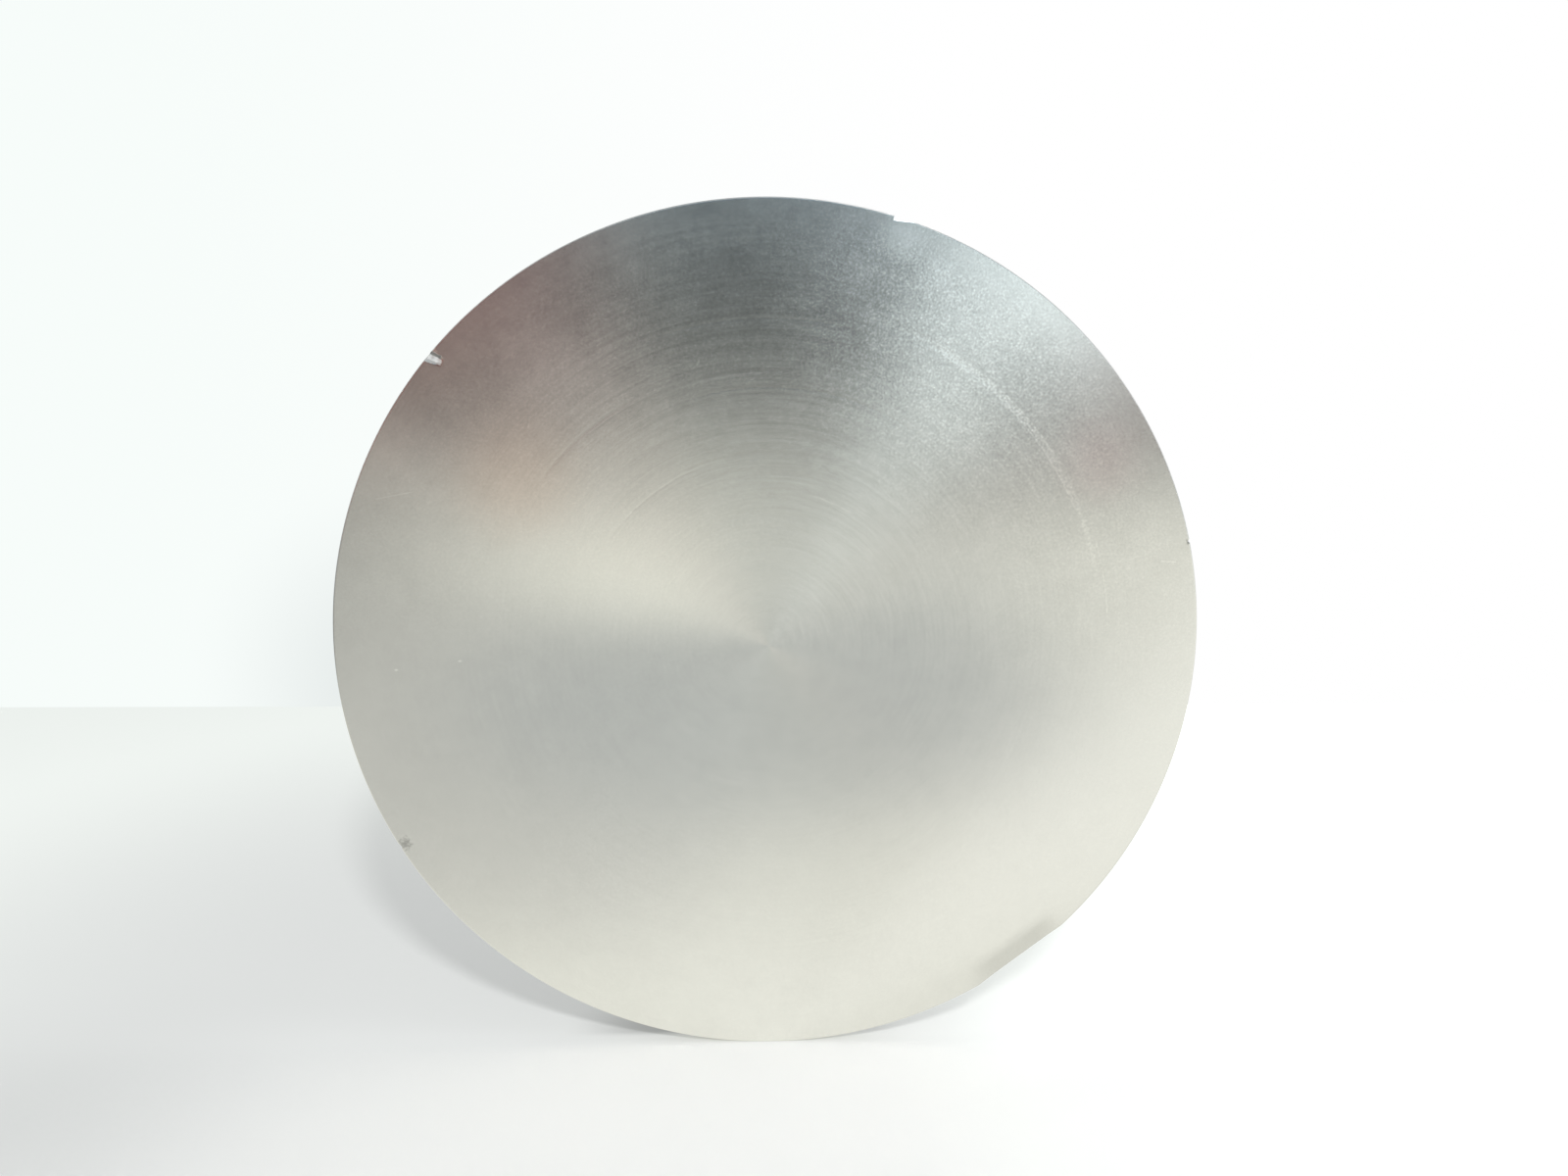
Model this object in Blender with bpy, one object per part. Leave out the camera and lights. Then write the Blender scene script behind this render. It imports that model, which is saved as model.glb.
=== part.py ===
"""Brake disc rotor: one plain steel disc, turned flat on both faces, standing upright on its rim.

Metres, +Z up. The origin is the centre of the rear face, the one that bolts to a hub. The rear face
lies in the plane y = 0 and looks along +Y, and the turned front face looks along -Y. Angles round
the rim are in degrees, anticlockwise from +X as seen from the front.
"""

from math import atan2, cos, pi, radians, sin

import bmesh
import bpy
from mathutils import Matrix

# Driving dimensions of the disc
DIAMETER = 0.292
THICKNESS = 0.005
EDGE_BREAK = 0.0003  # the chamfer that takes the sharpness off both corners of the rim
SEGMENTS = 360

# Damage on the rim. Each depth is measured inwards from the round rim, or down from the front face.
FLAT_ANGLE, FLAT_WIDTH = 308.4, 0.0362  # a knock has flattened the rim here
DRESSED_WIDTH, DRESSED_REACH, DRESSED_DEPTH = 0.030, 0.0060, 0.0004  # filed slope beside the flat
STEP_ANGLE, STEP_LENGTH, STEP_DEPTH = 74.2, 0.0085, 0.0012  # a sharp step that blends out clockwise
GOUGE_ANGLE, GOUGE_WIDTH, GOUGE_REACH, GOUGE_DEPTH = 138.9, 0.0034, 0.0060, 0.0008
GOUGE_TURN = 25.0  # the gouge runs inwards this many degrees anticlockwise of straight to the centre
NICKS = {"right": (14.3, 0.0016, 0.0006), "lower_left": (209.2, 0.0030, 0.0008)}  # angle, width, depth

STEEL_COLOUR = (0.62, 0.62, 0.60, 1.0)
STEEL_ROUGHNESS = 0.34

RADIUS = DIAMETER / 2
MARGIN = 0.002  # how far a cutter runs past what it cuts


def steel():
    material = bpy.data.materials.new("turned_steel")
    material.use_nodes = True
    shader = material.node_tree.nodes["Principled BSDF"]
    shader.inputs["Base Color"].default_value = STEEL_COLOUR
    shader.inputs["Metallic"].default_value = 1.0
    shader.inputs["Roughness"].default_value = STEEL_ROUGHNESS
    return material


def new_object(name, shape):
    """An object in the scene from a bmesh, with its faces turned outwards."""
    bmesh.ops.recalc_face_normals(shape, faces=shape.faces)
    mesh = bpy.data.meshes.new(name)
    shape.to_mesh(mesh)
    shape.free()
    piece = bpy.data.objects.new(name, mesh)
    bpy.context.scene.collection.objects.link(piece)
    return piece


def rim_frame(angle):
    """The frame at a point of the front corner: X runs outwards, Y backwards and Z anticlockwise."""
    turn = Matrix.Rotation(-radians(angle), 4, "Y")
    return turn @ Matrix.Translation((RADIUS, -THICKNESS, 0))


def turned_disc():
    shape = bmesh.new()
    stand_up = Matrix.Rotation(pi / 2, 4, "X")
    bmesh.ops.create_circle(shape, cap_ends=True, radius=RADIUS, segments=SEGMENTS, matrix=stand_up)
    grown = bmesh.ops.extrude_face_region(shape, geom=shape.faces[:])
    front = [item for item in grown["geom"] if isinstance(item, bmesh.types.BMVert)]
    bmesh.ops.translate(shape, verts=front, vec=(0, -THICKNESS, 0))
    disc = new_object("brake_disc", shape)
    corners = disc.modifiers.new("edge_break", "BEVEL")
    corners.width = EDGE_BREAK
    corners.segments = 1
    corners.limit_method = "ANGLE"
    corners.angle_limit = radians(60)
    return disc


def cut(disc, cutter, frame):
    """Places a cutter at the rim and takes it away from the disc."""
    cutter.matrix_world = frame
    cutter.hide_render = True
    cutter.display_type = "WIRE"
    taken = disc.modifiers.new(cutter.name, "BOOLEAN")
    taken.operation = "DIFFERENCE"
    taken.solver = "EXACT"
    taken.object = cutter


def prism(name, outline):
    """A cutter right through the disc, whose outline is (outwards, anticlockwise) from the rim."""
    shape = bmesh.new()
    corners = [shape.verts.new((out, -MARGIN, along)) for out, along in outline]
    grown = bmesh.ops.extrude_face_region(shape, geom=[shape.faces.new(corners)])
    far = [item for item in grown["geom"] if isinstance(item, bmesh.types.BMVert)]
    bmesh.ops.translate(shape, verts=far, vec=(0, THICKNESS + 2 * MARGIN, 0))
    return new_object(name, shape)


def cut_flat(disc):
    half = FLAT_WIDTH / 2
    sagitta = RADIUS - (RADIUS**2 - half**2) ** 0.5
    reach = half + MARGIN
    outline = [(-sagitta, -reach), (MARGIN, -reach), (MARGIN, reach), (-sagitta, reach)]
    cut(disc, prism("flat_cutter", outline), rim_frame(FLAT_ANGLE))


def cut_dressed_slope(disc):
    """A shallow slope on the front face that falls towards the flat."""
    shape = bmesh.new()
    size = (2 * DRESSED_REACH, 2 * MARGIN, DRESSED_WIDTH)
    bmesh.ops.create_cube(shape, size=1.0, matrix=Matrix.Diagonal((*size, 1)))
    inner_edge = Matrix.Translation((-DRESSED_REACH, 0, 0))
    tilt = Matrix.Rotation(atan2(DRESSED_DEPTH, DRESSED_REACH), 4, "Z")
    block = Matrix.Translation((DRESSED_REACH, -MARGIN, 0))
    frame = rim_frame(FLAT_ANGLE) @ inner_edge @ tilt @ block
    cut(disc, new_object("dressed_slope_cutter", shape), frame)


def cut_step(disc):
    """A triangle whose deep side is the step, and whose long side runs out to the rim."""
    fall = RADIUS * (1 - cos(STEP_LENGTH / RADIUS))
    run = RADIUS * sin(STEP_LENGTH / RADIUS)
    outline = [(-STEP_DEPTH, 0), (-fall, -run), (MARGIN, -run), (MARGIN, 0)]
    cut(disc, prism("step_cutter", outline), rim_frame(STEP_ANGLE))


def cut_nicks(disc):
    for name, (angle, width, depth) in NICKS.items():
        flare = 1 + MARGIN / depth
        half = flare * width / 2
        outline = [(-depth, 0), (MARGIN, -half), (MARGIN, half)]
        cut(disc, prism(f"nick_cutter_{name}", outline), rim_frame(angle))


def cut_gouge(disc):
    """A trough in the front face, round in section, deepest at the rim."""
    radius = (GOUGE_WIDTH**2 / 4 + GOUGE_DEPTH**2) / (2 * GOUGE_DEPTH)
    length = 4 * GOUGE_REACH
    shape = bmesh.new()
    along_x = Matrix.Rotation(pi / 2, 4, "Y")
    bmesh.ops.create_cone(
        shape,
        cap_ends=True,
        segments=48,
        radius1=radius,
        radius2=radius,
        depth=length,
        matrix=along_x,
    )
    turn = Matrix.Rotation(-radians(GOUGE_TURN), 4, "Y")
    trough_end = Matrix.Translation((-GOUGE_REACH, 0, 0))
    tilt = Matrix.Rotation(atan2(GOUGE_DEPTH, GOUGE_REACH), 4, "Z")
    above = Matrix.Translation((length / 2, -radius, 0))
    frame = rim_frame(GOUGE_ANGLE) @ turn @ trough_end @ tilt @ above
    cut(disc, new_object("gouge_cutter", shape), frame)


def main():
    for old in list(bpy.data.objects):
        bpy.data.objects.remove(old)
    disc = turned_disc()
    cut_flat(disc)
    cut_dressed_slope(disc)
    cut_step(disc)
    cut_nicks(disc)
    cut_gouge(disc)
    disc.data.materials.append(steel())
    disc.data.shade_smooth()
    disc.data.set_sharp_from_angle(angle=radians(30))


main()
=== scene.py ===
"""Looks for the brake disc rotor: a finely meshed turned steel disc in place of the plain CAD one.

Lengths are in metres, in the CAD's frame: the disc stands on its rim, its axis runs along Y and its
front face looks towards -Y. Angles round the disc are in degrees, anticlockwise from +X as seen
from the front. Most sizes are shares of the disc's radius, which comes from the CAD model's box.
"""

from math import cos, pi, radians, sin
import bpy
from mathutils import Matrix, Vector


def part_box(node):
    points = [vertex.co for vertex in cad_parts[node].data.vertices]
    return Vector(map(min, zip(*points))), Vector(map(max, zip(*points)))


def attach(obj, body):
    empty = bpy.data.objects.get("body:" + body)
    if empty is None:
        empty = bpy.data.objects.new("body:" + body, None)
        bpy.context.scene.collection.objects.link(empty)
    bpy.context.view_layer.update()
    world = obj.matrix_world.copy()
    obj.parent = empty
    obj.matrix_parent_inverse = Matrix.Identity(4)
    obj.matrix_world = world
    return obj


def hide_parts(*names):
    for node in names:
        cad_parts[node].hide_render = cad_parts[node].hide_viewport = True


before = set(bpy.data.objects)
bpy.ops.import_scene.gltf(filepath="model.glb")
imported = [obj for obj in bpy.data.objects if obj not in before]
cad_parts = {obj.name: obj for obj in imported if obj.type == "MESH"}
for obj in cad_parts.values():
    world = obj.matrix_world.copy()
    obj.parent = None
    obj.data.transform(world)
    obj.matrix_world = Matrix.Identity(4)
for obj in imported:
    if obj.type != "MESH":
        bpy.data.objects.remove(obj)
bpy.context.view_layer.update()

from types import SimpleNamespace

import bpy
import numpy as np
from mathutils import Matrix, Vector

LOW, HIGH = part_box("brake_disc")
RADIUS = (HIGH.x - LOW.x) / 2
FRONT_Y, REAR_Y = LOW.y, HIGH.y
FLOOR_Z = LOW.z
MM = 0.001


# ---------------------------------------------------------------- the disc's shape

EDGE_ROUND = 0.30 * MM

# Damage on the rim, in the same places as in the CAD model
FLAT_ANGLE, FLAT_HALF = 308.4, 7.12  # a knock has flattened the rim over twice the half angle
STEP_ANGLE, STEP_LENGTH, STEP_DEPTH = 74.2, 3.3, 1.15 * MM
NICKS = [(14.3, 0.30, 0.55 * MM), (209.2, 0.55, 0.45 * MM)]  # angle, half width in degrees, depth
GOUGE_ANGLE, GOUGE_TURN = 138.9, 25.0
GOUGE_REACH, GOUGE_DEPTH = 5.4 * MM, 0.75 * MM
GOUGE_BELOW, GOUGE_FOOT, GOUGE_ABOVE = -2.0 * MM, 0.55 * MM, 1.3 * MM  # across the gouge, upwards
RIB_LENGTH, RIB_SHARE = 0.36 * MM, 0.16  # ribs across the gouge, and how much they change its depth
DRESSED_DEPTH, DRESSED_REACH = 0.42 * MM, 7.0 * MM  # the filed slope beside the flat
PULL_REACH = 6 * MM  # rings of the mesh within this distance of the rim follow its damage

# Shallow turned grooves: share of the radius, width, depth, and the angles they run between
GROOVES = [
    (0.440, 0.9 * MM, 0.006 * MM, 100, 150),
    (0.592, 0.8 * MM, 0.008 * MM, 50, 120),
    (0.640, 1.0 * MM, 0.012 * MM, 116, 146),
    (0.742, 0.8 * MM, 0.008 * MM, 70, 116),
    (0.776, 2.4 * MM, 0.012 * MM, 14, 76),
]


def smooth(low, high, value):
    share = np.clip((value - low) / (high - low), 0, 1)
    return share * share * (3 - 2 * share)


def rim_angles():
    """Directions round the disc in degrees: even steps, and finer ones at each mark on the rim."""
    angles = list(np.arange(0, 360, 0.75))
    windows = [
        (FLAT_ANGLE, 9.0, 0.25),
        (STEP_ANGLE - STEP_LENGTH / 2, 2.4, 0.12),
        (GOUGE_ANGLE, 2.4, 0.05),
    ]
    windows += [(angle, 2.2 * half, half / 12) for angle, half, _ in NICKS]
    for middle, half, step in windows:
        angles = [a for a in angles if abs(a - middle) > half + 0.05]
        angles += list(np.arange(middle - half, middle + half + 1e-6, step))
    angles += [STEP_ANGLE - 0.004, STEP_ANGLE + 0.004]
    return np.array(sorted(angles))


def rim_loss(angles):
    """How far inside the true circle the rim lies, in metres."""
    off = np.radians(angles - FLAT_ANGLE)
    flat = RADIUS * (1 - cos(radians(FLAT_HALF)) / np.cos(np.clip(off, -0.5, 0.5)))
    loss = np.where(np.abs(off) < 0.5, np.clip(flat, 0, None), 0)
    behind = STEP_ANGLE - angles
    fade = 1 - smooth(0, STEP_LENGTH, behind)
    loss = np.maximum(loss, np.where(behind > 0, STEP_DEPTH * fade, 0))
    for angle, half, depth in NICKS:
        share = 1 - np.abs(angles - angle) / half
        loss = np.maximum(loss, depth * np.clip(share, 0, 1))
    return loss


def face_drop(radius, angles):
    """How far the front face lies below its plane, at points given by radius and angle."""
    drop = np.zeros(np.broadcast(radius, angles).shape)
    for share, width, depth, start, end in GROOVES:
        middle, half = (start + end) / 2, (end - start) / 2
        off = np.abs((angles - middle + 180) % 360 - 180)
        shape = np.exp(-(((radius - share * RADIUS) / (width / 2)) ** 2))
        drop = drop + depth * shape * (1 - smooth(0.5 * half, half, off))
    # the dressed slope beside the flat
    off = np.radians(angles - FLAT_ANGLE)
    reach = RADIUS - radius
    across = 1 - smooth(0.075, 0.135, np.abs(off))
    drop = drop + DRESSED_DEPTH * across * (1 - smooth(1.0 * MM, DRESSED_REACH, reach))
    # the gouge: along runs inwards from the rim, and aside goes upwards across it
    turn = np.radians(angles - GOUGE_ANGLE)
    out, side = radius * np.cos(turn) - RADIUS, radius * np.sin(turn)
    lean = radians(GOUGE_TURN)
    along = -out * cos(lean) - side * sin(lean)
    aside = out * sin(lean) - side * cos(lean) + 0.1 * along
    near = np.abs(turn) < 0.2
    depth = GOUGE_DEPTH * (1 - smooth(0, GOUGE_REACH, along))
    ribs = 1 + RIB_SHARE * np.sin(along / RIB_LENGTH) * smooth(0, 0.8 * MM, along)
    lower = np.clip((aside - GOUGE_BELOW) / (GOUGE_FOOT - GOUGE_BELOW), 0, 1)
    wall = np.clip((GOUGE_ABOVE - aside) / (GOUGE_ABOVE - GOUGE_FOOT), 0, 1)
    return drop + np.where(near, depth * np.minimum(lower, wall) * ribs, 0)


def face_radii():
    """Ring radii on a face from the centre out, close together at the grooves and near the rim."""
    shares = list(np.linspace(0.01, 0.95, 24))
    for share, width, *_ in GROOVES:
        half = width / RADIUS
        shares = [s for s in shares if abs(s - share) > half]
        shares += list(np.linspace(share - half, share + half, 7))
    outer = list(np.linspace(0.952, 1 - EDGE_ROUND / RADIUS, 22))
    return np.array(sorted(shares) + outer) * RADIUS


def profile():
    """(radius, y) from the front face's centre round the rim to the rear face's centre."""
    front = [(r, FRONT_Y) for r in face_radii()]
    rounded = []
    for k in range(1, 4):
        turn = k * pi / 8
        rounded.append((RADIUS - EDGE_ROUND * (1 - sin(turn)), FRONT_Y + EDGE_ROUND * (1 - cos(turn))))
    wall = [(RADIUS, y) for y in np.linspace(FRONT_Y + EDGE_ROUND, REAR_Y - EDGE_ROUND, 6)]
    back = [(r, FRONT_Y + REAR_Y - y) for r, y in reversed(rounded)]
    rear = [(r, REAR_Y) for r in reversed(face_radii()[::3])]
    return np.array(front + rounded + wall + back + rear)


def disc_mesh():
    angles = rim_angles()
    stations = profile()
    turn = np.radians(angles)
    radius = np.repeat(stations[:, :1], len(angles), axis=1)
    depth = np.repeat(stations[:, 1:], len(angles), axis=1)
    # a loss of rim pulls in the rings near it, less and less towards the inside
    pull = smooth(RADIUS - PULL_REACH, RADIUS - 0.5 * MM, radius)
    radius = radius - rim_loss(angles)[None, :] * pull
    near_front = 1 - smooth(0, 1.4 * MM, depth - FRONT_Y)
    depth = depth + face_drop(radius, angles[None, :]) * near_front
    x = radius * np.cos(turn)
    z = radius * np.sin(turn)
    points = np.stack([x, depth, z], axis=2).reshape(-1, 3)
    rings, around = radius.shape
    points = np.vstack([points, [0, FRONT_Y, 0], [0, REAR_Y, 0]])
    here = np.arange(around)
    after = (here + 1) % around
    faces = []
    for ring in range(rings - 1):
        a, b = ring * around, (ring + 1) * around
        faces += np.stack([a + here, a + after, b + after, b + here], axis=1).tolist()
    faces += np.stack([np.full(around, rings * around), after, here], axis=1).tolist()
    last = (rings - 1) * around
    faces += np.stack([np.full(around, rings * around + 1), last + here, last + after], axis=1).tolist()
    mesh = bpy.data.meshes.new("turned_disc")
    mesh.from_pydata(points.tolist(), [], faces)
    mesh.update()
    mesh.shade_smooth()
    return mesh


# ---------------------------------------------------------------- the steel

class Nodes:
    """Short calls for building a node tree."""

    def __init__(self, tree):
        self.tree = tree

    def add(self, kind, **settings):
        node = self.tree.nodes.new(kind)
        for name, value in settings.items():
            setattr(node, name, value)
        return node

    def feed(self, socket, value):
        if isinstance(value, bpy.types.NodeSocket):
            self.tree.links.new(value, socket)
        else:
            socket.default_value = value

    def math(self, operation, *values):
        node = self.add("ShaderNodeMath", operation=operation)
        for socket, value in zip(node.inputs, values):
            self.feed(socket, value)
        return node.outputs[0]

    def vector(self, operation, *values):
        node = self.add("ShaderNodeVectorMath", operation=operation)
        for socket, value in zip(node.inputs, values):
            self.feed(socket, value)
        return node.outputs["Value" if operation in ("DOT_PRODUCT", "LENGTH", "DISTANCE") else "Vector"]

    def scale(self, colour, factor):
        node = self.add("ShaderNodeVectorMath", operation="SCALE")
        self.feed(node.inputs[0], colour)
        self.feed(node.inputs["Scale"], factor)
        return node.outputs[0]

    def ramp(self, value, low, high, to_low=0.0, to_high=1.0):
        node = self.add("ShaderNodeMapRange", interpolation_type="SMOOTHSTEP")
        for name, given in (("Value", value), ("From Min", low), ("From Max", high)):
            self.feed(node.inputs[name], given)
        self.feed(node.inputs["To Min"], to_low)
        self.feed(node.inputs["To Max"], to_high)
        return node.outputs[0]

    def mix(self, factor, first, second):
        node = self.add("ShaderNodeMix", data_type="RGBA")
        self.feed(node.inputs[0], factor)
        self.feed(node.inputs[6], first)
        self.feed(node.inputs[7], second)
        return node.outputs[2]

    def noise(self, vector, scale, detail=2.0, rough=0.5):
        node = self.add("ShaderNodeTexNoise")
        self.feed(node.inputs["Vector"], vector)
        node.inputs["Scale"].default_value = scale
        node.inputs["Detail"].default_value = detail
        node.inputs["Roughness"].default_value = rough
        return node.outputs["Fac"]

    def add_up(self, *values):
        result = values[0]
        for value in values[1:]:
            result = self.math("ADD", result, value)
        return result

    def times(self, *values):
        result = values[0]
        for value in values[1:]:
            result = self.math("MULTIPLY", result, value)
        return result

    def centred(self, value, amount):
        """A noise value between 0 and 1, moved to lie round 0 and multiplied."""
        return self.times(self.math("SUBTRACT", value, 0.5), amount)

    def apart(self, value, middle):
        return self.math("ABSOLUTE", self.math("SUBTRACT", value, middle))

    def split(self, vector):
        node = self.add("ShaderNodeSeparateXYZ")
        self.feed(node.inputs[0], vector)
        return node.outputs


def new_material(name):
    material = bpy.data.materials.new(name)
    material.use_nodes = True
    material.node_tree.nodes.clear()
    nodes = Nodes(material.node_tree)
    shader = nodes.add("ShaderNodeBsdfPrincipled")
    output = nodes.add("ShaderNodeOutputMaterial")
    nodes.feed(output.inputs["Surface"], shader.outputs[0])
    return material, nodes, shader


# Marks in the steel's finish, with painted shade, glints and reflection tints among them. Angles are in
# degrees; lighter is a share of the steel's colour.
STEEL = (0.80, 0.80, 0.795)
STEEL_ROUGHNESS = 0.206
STEEL_ANISOTROPY, STEEL_GRAIN_TURN = 0.78, 0.25  # a quarter turn lays the grain along the tool lines
# the bright flecks of the grain stand partly for glints, painted highlights strongest towards the upper
# right
FLECK_TURN, GRAIN_TURN, LINE_TURN = 60.0, 75.0, 80.0  # where flecks, grain and lines are strongest
ARCS = [  # share of the radius, width as such a share, start and end angle, how much lighter
    (0.776, 0.0110, 8, 74, 0.06),
    (0.7760, 0.0090, 36, 68, 0.08),
    (0.7690, 0.0026, 22, 66, 0.13),
    (0.7835, 0.0026, 30, 70, 0.13),
    (0.7900, 0.0020, 2, 20, 0.08),
    (0.6420, 0.0030, 120, 142, -0.10),
    (0.6300, 0.0022, 108, 132, -0.06),
    (0.5950, 0.0024, 60, 112, -0.05),
    (0.5300, 0.0022, 52, 84, 0.04),
    (0.4400, 0.0026, 118, 142, 0.05),
    (0.3620, 0.0024, 56, 76, 0.07),
]
SCRATCHES = [  # both ends as angle and share of the radius, half width, how much lighter
    (159.0, 0.948, 156.0, 0.876, 0.16 * MM, 0.12),
    (12.4, 0.927, 11.9, 0.960, 0.20 * MM, 0.16),
    (182.8, 0.712, 182.8, 0.716, 0.45 * MM, 0.20),
    (183.7, 0.860, 183.7, 0.864, 0.45 * MM, 0.20),
    (104.0, 0.660, 103.5, 0.668, 0.35 * MM, 0.18),
    (137.0, 0.735, 136.6, 0.740, 0.35 * MM, 0.15),
]
# Soft patches: lighter ones first, then painted shade in the nicks of the rim and over the upper face
PATCHES_AND_PAINTED_SHADE = [  # angle and share of the radius of the middle, half size, how much lighter
    (127.0, 0.80, 15 * MM, 0.06),
    (97.0, 0.65, 13 * MM, 0.05),
    (72.5, 0.962, 9 * MM, 0.22),
    (66.0, 0.91, 8 * MM, 0.10),
    # painted shade in the two nicks of the rim
    (209.1, 0.986, 2.6 * MM, -0.36),
    (14.2, 0.996, 0.9 * MM, -0.45),
    # painted shade: darker patches over the upper face
    (97.0, 0.76, 42 * MM, -0.29),
    (142.0, 0.94, 30 * MM, -0.20),
    (46.0, 0.80, 22 * MM, -0.14),
    (73.0, 0.70, 20 * MM, -0.14),
    (72.0, 0.86, 14 * MM, -0.12),
    (118.0, 0.88, 18 * MM, -0.09),
]
# tints of painted reflection: the face takes on the colour of reddish things it mirrors
PAINTED_REFLECTION_TINTS = [  # angle and share of the radius of the middle, half size, change of red, green and blue
    (145.0, 0.70, 26 * MM, (0.02, -0.06, -0.10)),
    (30.0, 0.87, 17 * MM, (0.06, -0.01, 0.0)),
]


PATCH_EDGE_WANDER = 7 * MM  # the most that a soft patch's edge wanders in and out
SMALL_PATCH = 3 * MM  # a soft patch under this half size has a finely broken edge
# How much lighter each kind of damage is, and how much of it scatters the light. The darker dressed face,
# the dark wall over the gouge and the darker upper edge of the rim are painted shade, and the lighter torn
# metal is partly a painted highlight.
DAMAGE_TONES_AND_PAINTED_SHADE = {"dressed": -0.14, "torn": 0.06, "dark": -0.45, "foot": -0.1, "burr": 0.25, "edge": -0.30}
DAMAGE_SCATTER = {"torn": 0.85, "dark": 0.25, "foot": 0.45, "edge": 0.5}


def polar(angle, share):
    return share * RADIUS * cos(radians(angle)), share * RADIUS * sin(radians(angle))


def arc_mask(nodes, spot, arc):
    """1 on a thin turned line between two angles, fading at both ends and both sides."""
    share, width, start, end, _ = arc
    line = nodes.ramp(nodes.apart(spot.share, share), 0.2 * width, width, 1.0, 0.0)
    around = nodes.apart(spot.turn, (start + end) / 2)
    span = end - start
    return nodes.times(line, nodes.ramp(around, 0.3 * span, 0.5 * span, 1.0, 0.0))


def scratch_mask(nodes, spot, scratch):
    """1 on a short straight line between two places on the face."""
    x0, z0 = polar(*scratch[0:2])
    x1, z1 = polar(*scratch[2:4])
    length = ((x1 - x0) ** 2 + (z1 - z0) ** 2) ** 0.5
    along_x, along_z = (x1 - x0) / length, (z1 - z0) / length
    dx, dz = nodes.math("SUBTRACT", spot.x, x0), nodes.math("SUBTRACT", spot.z, z0)
    along = nodes.add_up(nodes.times(dx, along_x), nodes.times(dz, along_z))
    aside = nodes.math("SUBTRACT", nodes.times(dx, along_z), nodes.times(dz, along_x))
    nearest = nodes.math("MINIMUM", nodes.math("MAXIMUM", along, 0.0), length)
    beyond = nodes.math("SUBTRACT", along, nearest)
    away = nodes.math("SQRT", nodes.add_up(nodes.times(beyond, beyond), nodes.times(aside, aside)))
    return nodes.ramp(away, 0.3 * scratch[4], scratch[4], 1.0, 0.0)


def wandering_patch_mask(nodes, spot, noise, patch_row):
    """A soft round patch whose edge wanders with the noise."""
    angle, share, size, _ = patch_row
    x, z = polar(angle, share)
    away = nodes.vector("DISTANCE", spot.place, (x, FRONT_Y, z))
    away = nodes.add_up(away, nodes.centred(noise, min(1.6 * size, PATCH_EDGE_WANDER)))
    return nodes.ramp(away, 0.1 * size, 1.2 * size, 1.0, 0.0)


def dressed_mask(nodes, spot, mottle):
    """1 on the dressed face beside the flat in the rim, which is darkened there as painted shade."""
    across = nodes.ramp(nodes.apart(spot.turn, FLAT_ANGLE - 360), 3.0, 9.5, 1.0, 0.0)
    edge = nodes.add_up(spot.share, nodes.centred(mottle, 0.03))
    return nodes.times(across, nodes.ramp(edge, 0.926, 0.966))


def gouge_place(nodes, spot):
    """How far inwards along the gouge, and how far upwards across it, in millimetres."""
    mouth_x, mouth_z = polar(GOUGE_ANGLE, 1.0)
    way = radians(GOUGE_ANGLE + 180 + GOUGE_TURN)
    in_x, in_z = cos(way) / MM, sin(way) / MM
    dx, dz = nodes.math("SUBTRACT", spot.x, mouth_x), nodes.math("SUBTRACT", spot.z, mouth_z)
    along = nodes.add_up(nodes.times(dx, in_x), nodes.times(dz, in_z))
    aside = nodes.math("SUBTRACT", nodes.times(dz, in_x), nodes.times(dx, in_z))
    return along, aside


def between(nodes, value, low, high, soft):
    """1 between low and high, fading to 0 over soft on either side."""
    above = nodes.ramp(nodes.math("SUBTRACT", value, low), -soft, 0.0)
    below = nodes.ramp(nodes.math("SUBTRACT", high, value), -soft, 0.0)
    return nodes.math("MULTIPLY", above, below)


def gouge_masks(nodes, spot, grain):
    """Parts of the gouge: torn bright metal, partly a painted highlight, the dark wall over it, a painted
    shadow, its dull foot, and a burr.
    """
    along, aside = gouge_place(nodes, spot)
    aside = nodes.add_up(aside, nodes.centred(grain, 0.8))
    narrowing = nodes.add_up(nodes.times(along, along, 0.035), 1.0)
    level = nodes.times(nodes.add_up(aside, nodes.times(along, 0.1), 0.15), narrowing)
    ribs = nodes.math("SINE", nodes.times(along, MM / RIB_LENGTH))
    torn = nodes.times(between(nodes, level, -0.75, 0.75, 0.4), between(nodes, along, -1.0, 4.1, 1.0))
    torn = nodes.times(torn, nodes.math("MULTIPLY_ADD", ribs, RIB_SHARE, 0.80))
    rise = nodes.add_up(aside, nodes.times(along, 0.18))
    dark = nodes.times(between(nodes, rise, 0.95, 1.75, 0.3), between(nodes, along, 0.3, 4.0, 0.4))
    foot = nodes.times(between(nodes, level, -1.7, -0.75, 0.5), between(nodes, along, -0.5, 4.0, 0.9))
    reach = nodes.add_up(along, nodes.times(aside, 0.94))
    burr = nodes.times(nodes.ramp(rise, 1.65, 1.9), nodes.ramp(reach, 4.2, 4.9, 1.0, 0.0))
    return torn, dark, foot, burr


def where(nodes):
    """Where a point of the disc lies: its place, its direction and distance from the axis, and
    whether it is on the front side."""
    place = nodes.add("ShaderNodeTexCoord").outputs["Object"]
    x, y, z = nodes.split(place)
    radius = nodes.math("SQRT", nodes.add_up(nodes.times(x, x), nodes.times(z, z)))
    turn = nodes.math("DEGREES", nodes.math("ARCTAN2", z, x))
    share = nodes.math("DIVIDE", radius, RADIUS)
    front = nodes.ramp(y, FRONT_Y + 1.0 * MM, FRONT_Y + 1.4 * MM, 1.0, 0.0)
    across = nodes.add_up(radius, y)
    return SimpleNamespace(
        place=place, x=x, z=z, radius=radius, turn=turn, share=share, front=front, across=across
    )


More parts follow.
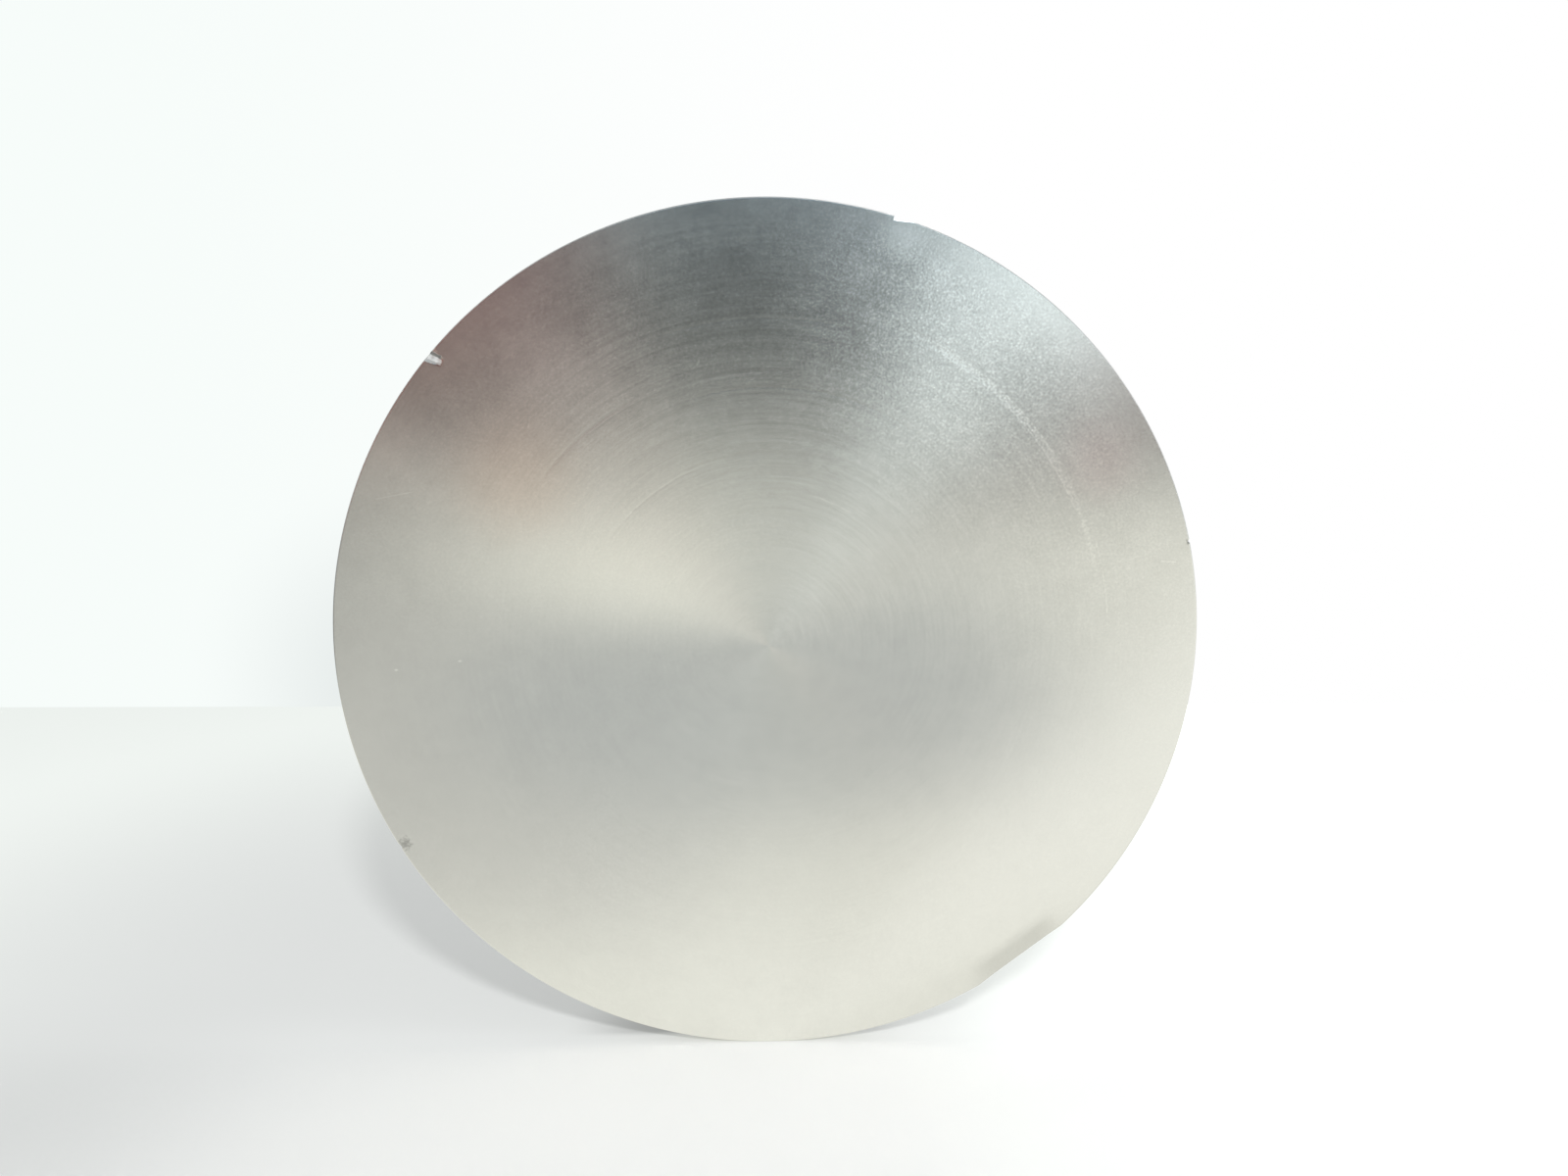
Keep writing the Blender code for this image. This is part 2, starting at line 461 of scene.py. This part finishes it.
def tool_lines(nodes, spot, pitch, arcs, detail=1.0):
    """Tool lines a pitch apart, broken into about that many arcs to a radian."""
    ring = nodes.add("ShaderNodeCombineXYZ")
    nodes.feed(ring.inputs[0], nodes.times(nodes.math("DIVIDE", spot.x, spot.radius), arcs))
    nodes.feed(ring.inputs[1], nodes.math("DIVIDE", spot.across, pitch))
    nodes.feed(ring.inputs[2], nodes.times(nodes.math("DIVIDE", spot.z, spot.radius), arcs))
    return nodes.noise(ring.outputs[0], 1.0, detail)


def textures(nodes, spot):
    """Noise between 0 and 1: tool lines of three sizes, grain, and two sizes of blotches."""
    return SimpleNamespace(
        fine=tool_lines(nodes, spot, 0.45 * MM, 3.0),
        middle=tool_lines(nodes, spot, 1.1 * MM, 1.8),
        coarse=tool_lines(nodes, spot, 4.0 * MM, 1.4, 2.0),
        grain=nodes.noise(spot.place, 1 / (0.8 * MM), 1.0, 0.5),
        mottle=nodes.noise(spot.place, 1 / (9 * MM), 4.0, 0.6),
        cloud=nodes.noise(spot.place, 1 / (3.2 * MM), 2.0, 0.6),
    )


def strengths(nodes, spot):
    """How strong the grain, the faint mottling and the tool lines are over the face."""
    narrow = nodes.ramp(nodes.apart(spot.turn, FLECK_TURN), 6.0, 36.0, 0.7, 0.0)
    wide = nodes.ramp(nodes.apart(spot.turn, GRAIN_TURN), 30.0, 95.0, 0.3, 0.0)
    outward = nodes.times(nodes.ramp(spot.share, 0.36, 0.80), nodes.ramp(spot.share, 0.90, 0.99, 1.0, 0.4))
    lined = nodes.ramp(nodes.apart(spot.turn, LINE_TURN), 35.0, 100.0, 1.0, 0.25)
    return SimpleNamespace(
        grained=nodes.times(nodes.add_up(narrow, wide), outward),
        upper=nodes.ramp(spot.z, -0.15 * RADIUS, 0.35 * RADIUS, 0.5, 1.0),
        lined=nodes.times(lined, nodes.ramp(spot.share, 0.70, 0.90, 1.0, 0.4)),
    )


def texture_shades(nodes, noise, strong):
    """How much lighter the lines, grain and blotches make the steel, as shares of its colour. The bright
    flecks are partly painted glints.
    """
    dark_flecks = nodes.ramp(noise.grain, 0.30, 0.46, 1.0, 0.0)
    # bright flecks: grain, and partly painted glints
    bright_flecks = nodes.ramp(noise.grain, 0.55, 0.68)
    flecks = nodes.math("SUBTRACT", bright_flecks, nodes.times(dark_flecks, 0.7))
    return [
        nodes.times(nodes.centred(noise.fine, 0.07), strong.lined),
        nodes.times(nodes.centred(noise.middle, 0.10), strong.lined),
        nodes.times(nodes.centred(noise.coarse, 0.04), strong.lined),
        nodes.times(flecks, 0.16, strong.grained),
        nodes.times(nodes.centred(noise.cloud, 0.24), strong.grained),
        nodes.times(flecks, 0.03, strong.upper),
        nodes.times(nodes.centred(noise.mottle, 0.16), strong.upper),
    ]


def mark_shades(nodes, spot, noise):
    """How much lighter the arcs, scratches and soft patches make the steel, as shares of its colour. The
    darker patches are painted shade.
    """
    broken = nodes.ramp(noise.grain, 0.38, 0.60, 0.45, 1.35)
    shades = [nodes.times(arc_mask(nodes, spot, arc), arc[-1], broken) for arc in ARCS]
    shades += [nodes.times(scratch_mask(nodes, spot, scratch), scratch[-1]) for scratch in SCRATCHES]
    for patch_row in PATCHES_AND_PAINTED_SHADE:
        wander = noise.grain if patch_row[2] < SMALL_PATCH else noise.mottle
        shades.append(nodes.times(wandering_patch_mask(nodes, spot, wander, patch_row), patch_row[-1]))
    return shades


def damage_masks(nodes, spot, noise):
    torn, dark, foot, burr = gouge_masks(nodes, spot, noise.grain)
    # the upper half of the rim's edge, darkened as painted shade
    edge = nodes.times(nodes.ramp(spot.share, 0.9970, 0.9990), nodes.ramp(spot.z, 0.0, 0.4 * RADIUS))
    dressed = dressed_mask(nodes, spot, noise.mottle)
    return {"dressed": dressed, "torn": torn, "dark": dark, "foot": foot, "burr": burr, "edge": edge}


def steel_colour(nodes, spot, noise, strong, damage):
    shades = texture_shades(nodes, noise, strong) + mark_shades(nodes, spot, noise)
    shades += [nodes.times(damage[name], amount) for name, amount in DAMAGE_TONES_AND_PAINTED_SHADE.items()]
    shade = nodes.add_up(nodes.times(nodes.add_up(*shades), spot.front), 1.0)
    tint = (1, 1, 1)
    # painted reflection tints
    for tint_patch in PAINTED_REFLECTION_TINTS:
        mask = nodes.times(wandering_patch_mask(nodes, spot, noise.mottle, tint_patch), spot.front)
        tint = nodes.vector("ADD", tint, nodes.scale(tint_patch[-1], mask))
    return nodes.vector("MULTIPLY", nodes.scale(STEEL, shade), tint)


def steel_roughness(nodes, noise, strong, damage):
    """Rougher where the grain is strong, and where the metal is torn."""
    torn_up = nodes.math("MINIMUM", nodes.add_up(*(damage[name] for name in DAMAGE_SCATTER)), 1.0)
    return nodes.add_up(
        nodes.times(nodes.centred(noise.middle, 0.05), strong.lined),
        nodes.centred(noise.mottle, 0.03),
        nodes.times(strong.grained, 0.02),
        nodes.times(torn_up, 0.3),
        STEEL_ROUGHNESS,
    )


def steel_relief(nodes, noise, strong):
    """The height of lines and grain too fine for the mesh, in metres, as a bent normal."""
    height = nodes.add_up(
        nodes.times(nodes.centred(noise.fine, 1.2e-6), strong.lined),
        nodes.times(nodes.centred(noise.middle, 3.0e-6), strong.lined),
        nodes.times(nodes.centred(noise.coarse, 2.0e-6), strong.lined),
        nodes.times(nodes.centred(noise.grain, 14.0e-6), nodes.add_up(strong.grained, 0.06)),
    )
    bump = nodes.add("ShaderNodeBump")
    bump.inputs["Strength"].default_value = 1.0
    bump.inputs["Distance"].default_value = 1.0
    nodes.feed(bump.inputs["Height"], height)
    return bump.outputs[0]


def turned_steel():
    """Bare steel, faced on a lathe: fine circular tool lines, a grain of tiny bright flecks that is
    stronger towards the upper right and partly painted glints, lighter patches, painted shade over the
    upper face, in the nicks, on the dressed face, over the gouge and along the upper rim edge, tints of
    painted reflection, and a few scratches."""
    material, nodes, shader = new_material("turned_steel")
    spot = where(nodes)
    noise = textures(nodes, spot)
    strong = strengths(nodes, spot)
    damage = damage_masks(nodes, spot, noise)
    nodes.feed(shader.inputs["Base Color"], steel_colour(nodes, spot, noise, strong, damage))
    nodes.feed(shader.inputs["Roughness"], steel_roughness(nodes, noise, strong, damage))
    nodes.feed(shader.inputs["Normal"], steel_relief(nodes, noise, strong))
    tangent = nodes.add("ShaderNodeTangent", direction_type="RADIAL", axis="Y")
    nodes.feed(shader.inputs["Tangent"], tangent.outputs[0])
    # torn steel scatters the light instead of mirroring it
    scatter = nodes.add_up(*(nodes.times(damage[name], amount) for name, amount in DAMAGE_SCATTER.items()))
    nodes.feed(shader.inputs["Metallic"], nodes.math("SUBTRACT", 1.0, nodes.times(scatter, spot.front)))
    shader.inputs["Anisotropic"].default_value = STEEL_ANISOTROPY
    shader.inputs["Anisotropic Rotation"].default_value = STEEL_GRAIN_TURN
    return material


# ---------------------------------------------------------------- floor, light and camera

# What the disc mirrors, as seen from its middle: a soft-edged patch of colour for each thing.
# Each row is bearing and height of the patch's middle, its half width and half height, all in
# degrees, the share of it that is solid before the edge fades, and its colour. Bearings run from
# straight out of the disc's face towards +X. Later rows lie over earlier ones. What each thing is
# is a guess.
WALL_COLOUR = (0.95, 1.05, 1.05)
WALL_PATCHES = [
    (-90, 45, 180, 90, 0.40, (0.20, 0.25, 0.25)),  # the dim side of the room
    (0, 80, 50, 50, 0.20, (0.40, 0.50, 0.60)),  # a bluish ceiling
    (35, 65, 15, 15, 0.30, (9.0, 9.0, 8.5)),  # a lamp, seen only in the edges of the marks
    (-40, 10, 25, 30, 0.50, (0.40, 0.05, 0.0)),  # something dark red on the left
    (10, 5, 20, 5, 0.50, (1.6, 1.8, 1.8)),  # a low window
    (5, 25, 25, 20, 0.50, (0.50, 0.65, 0.75)),  # the wall above it
    (30, 0, 15, 15, 0.50, (0.50, 0.40, 0.40)),  # something dull red on the right
    (0, 0, 10, 15, 0.80, (0.0, 0.0, 0.0)),  # something black in the middle
    (-15, 5, 10, 15, 0.40, (0.20, 0.10, 0.10)),  # something dark beside it
]
GROUND_COLOUR = (0.85, 0.85, 0.75)
GROUND_PATCHES = [
    (-60, 0, 60, 20, 0.50, (0.05, 0.05, 0.05)),  # the far end of the table, on the dim side
    (5, 0, 40, 5, 0.50, (0.10, 0.10, 0.10)),  # a dark band across the far end
    (-30, -30, 40, 40, 0.30, (0.60, 0.60, 0.55)),  # the table beyond the paper
    (0, -20, 30, 15, 0.80, (0.50, 0.52, 0.50)),  # a shaded part of the table
    (-5, -8, 20, 5, 0.0, (1.4, 1.4, 1.2)),  # a bright strip far away
    (40, -40, 15, 50, 0.80, (1.1, 1.1, 1.0)),  # the brighter right side
    (0, -90, 180, 80, 0.10, (1.0, 1.0, 0.90)),  # the white paper that the disc stands on
]


# Colours of the even light and of what only the camera sees
DOME_COLOUR = (0.645, 0.655, 0.650, 1)
BACKDROP_LEFT = (0.93, 0.975, 0.955, 1)
BACKDROP_RIGHT = (1.0, 1.0, 1.0, 1)
WALL_SHADOW = (-18, -14, 8.5, 10, 0.0, (0.80, 0.84, 0.83, 1))  # a patch like those mirrored
PAPER_COLOUR = (0.86, 0.87, 0.865)
# the colour of the painted light that the paper gives off for the camera
FAR_GLOW = (0.20, 0.22, 0.20, 1)

# Light that the steel throws on to the paper comes from a lamp high on the right, in degrees
BOUNCE_BEARING, BOUNCE_HEIGHT, BOUNCE_COLOUR = 33, 67, (22.0, 21.0, 19.0, 1)
BOUNCE_CORE, BOUNCE_EDGE = 6, 14  # full strength within the first angle, and none past the second

FLOOR_BACK, FLOOR_REACH = 3.0 * RADIUS, 20 * RADIUS


def direction(bearing, height):
    """The way towards a bearing and height in degrees, as seen from the disc."""
    bearing, height = radians(bearing), radians(height)
    return Vector((sin(bearing) * cos(height), -cos(bearing) * cos(height), sin(height)))


def soft_patch(nodes, bearing, height, patch):
    """1 inside a soft-edged ellipse, fading to 0 at its edge."""
    middle, level, half_width, half_height, solid, _ = patch
    across = nodes.math("DIVIDE", nodes.math("SUBTRACT", bearing, middle), half_width)
    upward = nodes.math("DIVIDE", nodes.math("SUBTRACT", height, level), half_height)
    squares = nodes.add_up(nodes.times(across, across), nodes.times(upward, upward))
    return nodes.ramp(nodes.math("SQRT", squares), solid, 1.0, 1.0, 0.0)


def bearing_and_height(nodes, way):
    """The direction way in degrees. Behind the disc, bearings mirror those in front."""
    x, y, z = nodes.split(nodes.vector("NORMALIZE", way))
    bearing = nodes.math("DEGREES", nodes.math("ARCTAN2", x, nodes.math("ABSOLUTE", y)))
    return bearing, nodes.math("DEGREES", nodes.math("ARCSINE", z))


def surroundings(nodes, way):
    """The colour of the surroundings in the direction way, from the disc's middle."""
    bearing, height = bearing_and_height(nodes, way)
    halves = []
    for base, patches in ((GROUND_COLOUR, GROUND_PATCHES), (WALL_COLOUR, WALL_PATCHES)):
        colour = (*base, 1)
        for patch in patches:
            colour = nodes.mix(soft_patch(nodes, bearing, height, patch), colour, (*patch[-1], 1))
        halves.append(colour)
    return nodes.mix(nodes.math("GREATER_THAN", height, 0.0), *halves)


def backdrop(nodes, way):
    """What the camera sees past the paper: pale, with the disc's faint shadow on it."""
    sideways = nodes.split(way)[0]
    pale = nodes.mix(nodes.ramp(sideways, -0.5, 0.2), BACKDROP_LEFT, BACKDROP_RIGHT)
    shadow = soft_patch(nodes, *bearing_and_height(nodes, way), WALL_SHADOW)
    return nodes.mix(shadow, pale, WALL_SHADOW[-1])


def make_world():
    """Pale backdrop, even soft light, and the room that the steel mirrors."""
    world = bpy.data.worlds.new("studio")
    bpy.context.scene.world = world
    world.cycles.sampling_method = "NONE"
    world.use_nodes = True
    world.node_tree.nodes.clear()
    nodes = Nodes(world.node_tree)
    way = nodes.add("ShaderNodeTexCoord").outputs["Generated"]
    path = nodes.add("ShaderNodeLightPath").outputs
    aim = nodes.vector("DOT_PRODUCT", way, direction(BOUNCE_BEARING, BOUNCE_HEIGHT))
    spot = nodes.ramp(aim, cos(radians(BOUNCE_EDGE)), cos(radians(BOUNCE_CORE)))
    bounced = nodes.times(path["Is Glossy Ray"], nodes.math("MINIMUM", path["Diffuse Depth"], 1.0))
    lit = nodes.mix(nodes.times(spot, bounced), DOME_COLOUR, BOUNCE_COLOUR)
    direct = nodes.math("SUBTRACT", path["Is Glossy Ray"], bounced)
    colour = nodes.mix(direct, lit, surroundings(nodes, way))
    colour = nodes.mix(path["Is Camera Ray"], colour, backdrop(nodes, way))
    background = nodes.add("ShaderNodeBackground")
    nodes.feed(background.inputs["Color"], colour)
    output = nodes.add("ShaderNodeOutputWorld")
    nodes.feed(output.inputs["Surface"], background.outputs[0])


def glow(nodes, colour, strength=1.0):
    node = nodes.add("ShaderNodeEmission")
    nodes.feed(node.inputs["Color"], colour)
    nodes.feed(node.inputs["Strength"], strength)
    return node.outputs[0]


def either(nodes, factor, first, second):
    """The first shader at factor 0, and the second at 1."""
    node = nodes.add("ShaderNodeMixShader")
    for socket, value in zip(node.inputs, (factor, first, second)):
        nodes.feed(socket, value)
    return node.outputs[0]


def paper_shade(nodes, x, y):
    """Paper colour, with painted shade towards the near left and a painted contact shadow close behind the
    foot of the disc.
    """
    # painted shade towards the near left corner
    corner = nodes.times(
        nodes.ramp(x, -1.7 * RADIUS, -1.0 * RADIUS, 1.0, 0.0),
        nodes.ramp(y, -0.4 * RADIUS, 0.35 * RADIUS, 1.0, 0.0),
    )
    # a painted contact shadow close behind the foot of the disc
    foot = nodes.times(
        nodes.ramp(y, -0.01 * RADIUS, 0.02 * RADIUS),
        nodes.ramp(y, 0.05 * RADIUS, 0.20 * RADIUS, 1.0, 0.0),
        nodes.ramp(x, -0.52 * RADIUS, -0.26 * RADIUS),
        nodes.ramp(x, 0.05 * RADIUS, 0.35 * RADIUS, 1.0, 0.0),
    )
    darker = nodes.add_up(nodes.times(corner, 0.12), nodes.times(foot, 0.36))
    return nodes.scale(PAPER_COLOUR, nodes.math("SUBTRACT", 1.0, darker))


def painted_paper_light(nodes, x, y, distance):
    """How much painted light the paper gives off, far from the disc, and beside it on the right, where it
    lightens the disc's shadow.
    """
    far = nodes.times(
        nodes.ramp(distance, 1.6 * RADIUS, 3.7 * RADIUS),
        nodes.ramp(x, -2 * RADIUS, 2 * RADIUS, 1.05, 2.4),
    )
    beside = nodes.times(
        nodes.ramp(x, 0.25 * RADIUS, 0.75 * RADIUS, 0.0, 0.85),
        nodes.ramp(y, -0.25 * RADIUS, 0.1 * RADIUS, 0.3, 1.0),
    )
    return nodes.add_up(far, beside)


def paper():
    """White paper, paler further off and to the right of the disc through painted light that only the
    camera sees. What the steel mirrors of it, and of the table, is set apart.
    """
    material = bpy.data.materials.new("paper")
    material.use_nodes = True
    material.cycles.emission_sampling = "NONE"
    material.node_tree.nodes.clear()
    nodes = Nodes(material.node_tree)
    place = nodes.add("ShaderNodeNewGeometry").outputs["Position"]
    distance = nodes.vector("LENGTH", place)
    path = nodes.add("ShaderNodeLightPath").outputs
    x, y, _ = nodes.split(place)
    diffuse = nodes.add("ShaderNodeBsdfDiffuse")
    nodes.feed(diffuse.inputs["Color"], paper_shade(nodes, x, y))
    # painted light: a glow on the paper that only the camera sees
    painted_glow = nodes.times(painted_paper_light(nodes, x, y, distance), path["Is Camera Ray"])
    near = nodes.add("ShaderNodeAddShader")
    nodes.feed(near.inputs[0], diffuse.outputs[0])
    nodes.feed(near.inputs[1], glow(nodes, FAR_GLOW, painted_glow))
    fade = nodes.ramp(distance, 4 * RADIUS, 12 * RADIUS)
    seen = either(nodes, fade, near.outputs[0], glow(nodes, BACKDROP_LEFT))
    mirrored = glow(nodes, surroundings(nodes, place))
    output = nodes.add("ShaderNodeOutputMaterial")
    nodes.feed(output.inputs["Surface"], either(nodes, path["Is Glossy Ray"], seen, mirrored))
    return material


def make_floor():
    mesh = bpy.data.meshes.new("floor")
    low, high, back = -FLOOR_REACH, FLOOR_REACH, FLOOR_BACK
    corners = [(low, low, FLOOR_Z), (high, low, FLOOR_Z), (high, back, FLOOR_Z), (low, back, FLOOR_Z)]
    mesh.from_pydata(corners, [], [(0, 1, 2, 3)])
    floor = bpy.data.objects.new("floor", mesh)
    bpy.context.scene.collection.objects.link(floor)
    mesh.materials.append(paper())


# The camera: its place from the front face's centre in radii, and which way it looks
CAMERA_PLACE = (-0.034, -2.671, 0.613)
CAMERA_AIM = (0.0253, 0.9842, -0.1755)
CAMERA_RIGHT = (0.9997, -0.0249, 0.0044)
CAMERA_LENS, CAMERA_SENSOR = 27.1, 36.0  # millimetres


def make_camera():
    camera = bpy.data.cameras.new("camera")
    camera.sensor_width = CAMERA_SENSOR
    camera.lens = CAMERA_LENS
    camera.clip_start = 0.01
    camera.clip_end = 50.0
    seat = bpy.data.objects.new("camera", camera)
    bpy.context.scene.collection.objects.link(seat)
    place = Vector(CAMERA_PLACE) * RADIUS + Vector((0, FRONT_Y, 0))
    back = -Vector(CAMERA_AIM).normalized()
    right = Vector(CAMERA_RIGHT)
    right = (right - back * right.dot(back)).normalized()
    up = back.cross(right)
    turn = Matrix((right, up, back)).transposed().to_4x4()
    seat.matrix_world = Matrix.Translation(place) @ turn
    bpy.context.scene.camera = seat


# Lamps: name, bearing and height in degrees, distance and size in radii, and power in watts
LAMPS = [
    ("key", 9, 43, 8.0, 0.8, 4.3),
    ("window", 85, 22, 4.5, 2.5, 1.6),
]


def lamp(name, bearing, height, distance, size, power):
    """A round soft light that shines on the disc's foot, and that the steel doesn't mirror."""
    light = bpy.data.lights.new(name, "AREA")
    light.shape = "DISK"
    light.size = size * RADIUS
    light.energy = power
    seat = bpy.data.objects.new(name, light)
    bpy.context.scene.collection.objects.link(seat)
    way = direction(bearing, height)
    seat.location = Vector((0, 0, FLOOR_Z)) + distance * RADIUS * way
    seat.rotation_euler = way.to_track_quat("Z", "Y").to_euler()
    seat.visible_glossy = False


disc = bpy.data.objects.new("turned_disc", disc_mesh())
bpy.context.scene.collection.objects.link(disc)
disc.data.materials.append(turned_steel())
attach(disc, "root")
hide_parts("brake_disc")

bpy.context.scene.view_settings.view_transform = "Standard"
make_world()
make_floor()
make_camera()
for row in LAMPS:
    lamp(*row)
